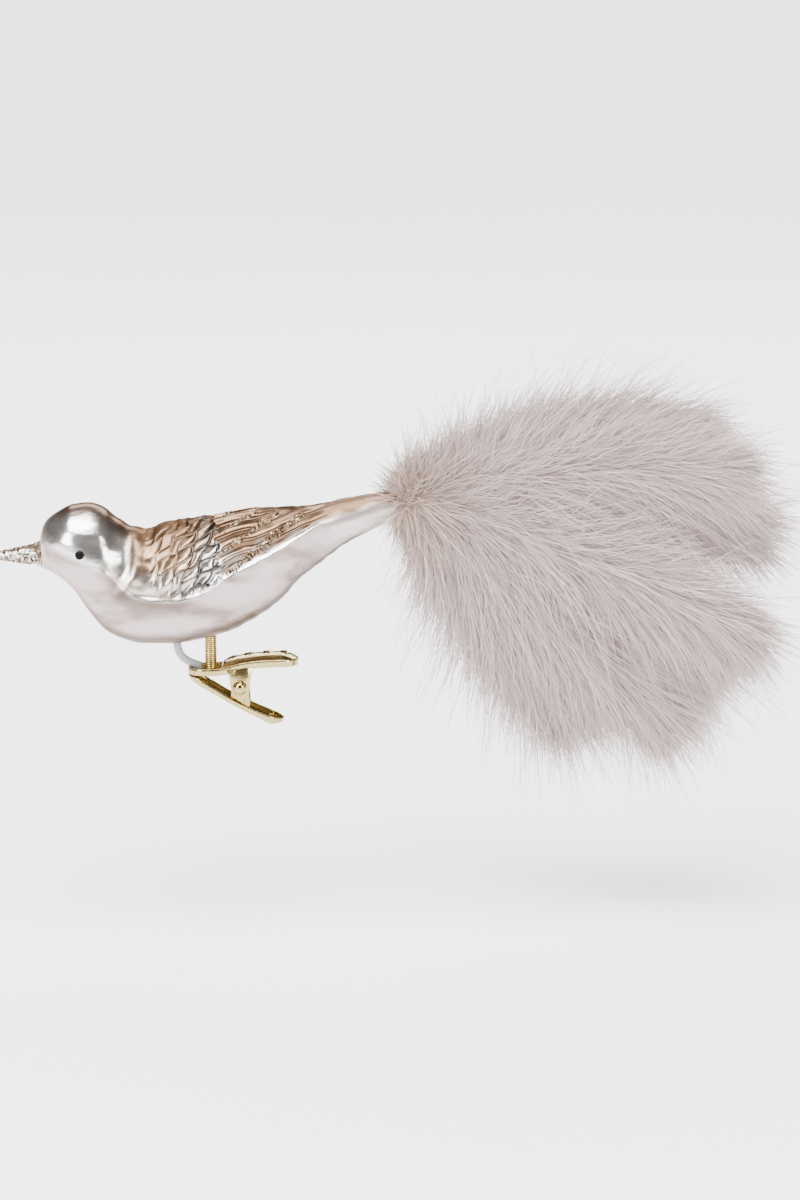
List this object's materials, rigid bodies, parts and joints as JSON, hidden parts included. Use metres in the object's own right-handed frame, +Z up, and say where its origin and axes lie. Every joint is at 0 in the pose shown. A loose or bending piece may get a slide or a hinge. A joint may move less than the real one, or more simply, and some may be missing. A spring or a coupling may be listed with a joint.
{
  "type": "clip-on glass bird ornament",
  "caption": "Hollow silvered glass bird with a feather plume tail, standing on a springy wire leg that is riveted to a spring clip for a twig.",
  "frame": {"origin": "middle of the underside of the upper jaw, where the clip bites on a twig", "axes": "+X from the beak towards the tail, +Z up, the bird's left side faces -Y"},
  "size_m": [0.1988, 0.0449, 0.1053],
  "materials": {
    "silvered_glass": "satin pearl and bronze lacquer over silvered glass",
    "eye_paint": "black enamel dot",
    "champagne_glitter": "champagne glitter grains in clear glue",
    "brass_wire": "bright plated wire",
    "brass_rivet": "bright plated rivet",
    "brass_plate": "bright plated stamping",
    "spring_wire": "bright spring wire",
    "soft_plastic": "milky translucent soft tube",
    "cement": "white cement",
    "marabou": "soft down, pinkish greige",
    "thread": "waxed thread"
  },
  "bodies": {
    "clip": {"upper_lever": "brass_plate", "pivot_rivet": "brass_rivet", "torsion_spring": "spring_wire", "foot_rivet": "brass_rivet", "soft_tie": "soft_plastic"},
    "clip_lever": {"lower_lever": "brass_plate"},
    "leg": {"leg_spring": "brass_wire"},
    "bird": {"glass_body": "silvered_glass", "left_eye": "eye_paint", "right_eye": "eye_paint", "left_wing_glitter": "champagne_glitter", "right_wing_glitter": "champagne_glitter", "beak_glitter": "champagne_glitter", "belly_seat": "cement", "plume_1": "marabou", "plume_2": "marabou", "plume_3": "marabou", "plume_4": "marabou", "plume_5": "marabou", "plume_6": "marabou", "plume_7": "marabou", "tail_plug": "cement", "tail_binding": "thread"}
  },
  "joints": [
    {"name": "clip_squeeze", "type": "hinge", "parent": "clip", "child": "clip_lever", "pos_m": [0.01, 0, -0.0026], "axis": [0, -1, 0], "range_deg": [0, 34], "stiffness_Nm_per_rad": 0.06, "springref_deg": -28.65, "deforming": ["torsion_spring"]},
    {"name": "leg_pitch", "type": "hinge", "parent": "clip", "child": "leg", "pos_m": [0.0026, 0, 0.003], "axis": [0, 1, 0], "range_deg": [-10, 10], "stiffness_Nm_per_rad": 0.12, "deforming": ["leg_spring", "soft_tie"]},
    {"name": "bird_roll", "type": "hinge", "parent": "leg", "child": "bird", "pos_m": [0.0026, 0, 0.0076], "axis": [1, 0, 0], "range_deg": [-10, 10], "stiffness_Nm_per_rad": 0.12, "deforming": ["leg_spring"]}
  ]
}
